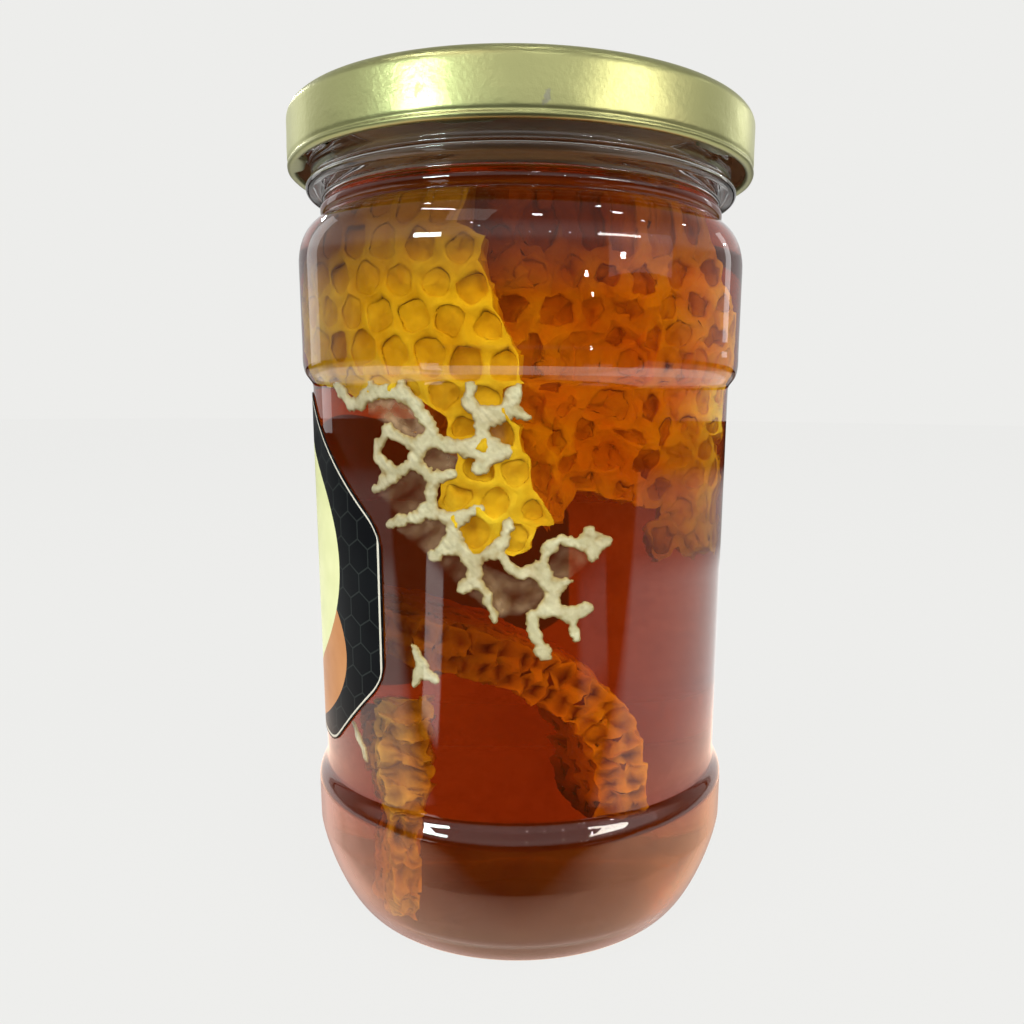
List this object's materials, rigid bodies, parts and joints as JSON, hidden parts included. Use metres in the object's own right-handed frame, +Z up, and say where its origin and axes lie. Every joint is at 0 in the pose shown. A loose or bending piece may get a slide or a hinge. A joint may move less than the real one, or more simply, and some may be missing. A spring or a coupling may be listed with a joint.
{
  "type": "jar of comb honey",
  "caption": "Shut glass jar of dark honey with pieces of yellow comb in it, a gold twist-off lid and a wrap label.",
  "frame": {"origin": "centre of the jar's base, on the surface it stands on", "axes": "+Z up along the jar's axis, -Y towards the front view, with the label on the -X side"},
  "size_m": [0.0842, 0.0844, 0.1474],
  "materials": {
    "clear_glass": "clear polished moulded glass",
    "gold_lacquer": "satin gold lacquer on tinplate, with faint ripples",
    "label_print": "glossy printed film, near black with a thin silver border",
    "yellow_wax": "translucent yellow beeswax",
    "amber_wax": "translucent amber beeswax",
    "pale_wax": "matt cream beeswax",
    "honey": "clear dark amber liquid"
  },
  "bodies": {
    "root": {"jar": "clear_glass", "lid": "gold_lacquer", "label": "label_print", "comb_upper_left": "yellow_wax", "comb_upper_right": "amber_wax", "comb_lower": "amber_wax", "comb_lower_left": "yellow_wax", "wax_bit_1": "pale_wax", "wax_bit_2": "pale_wax"}
  },
  "joints": []
}
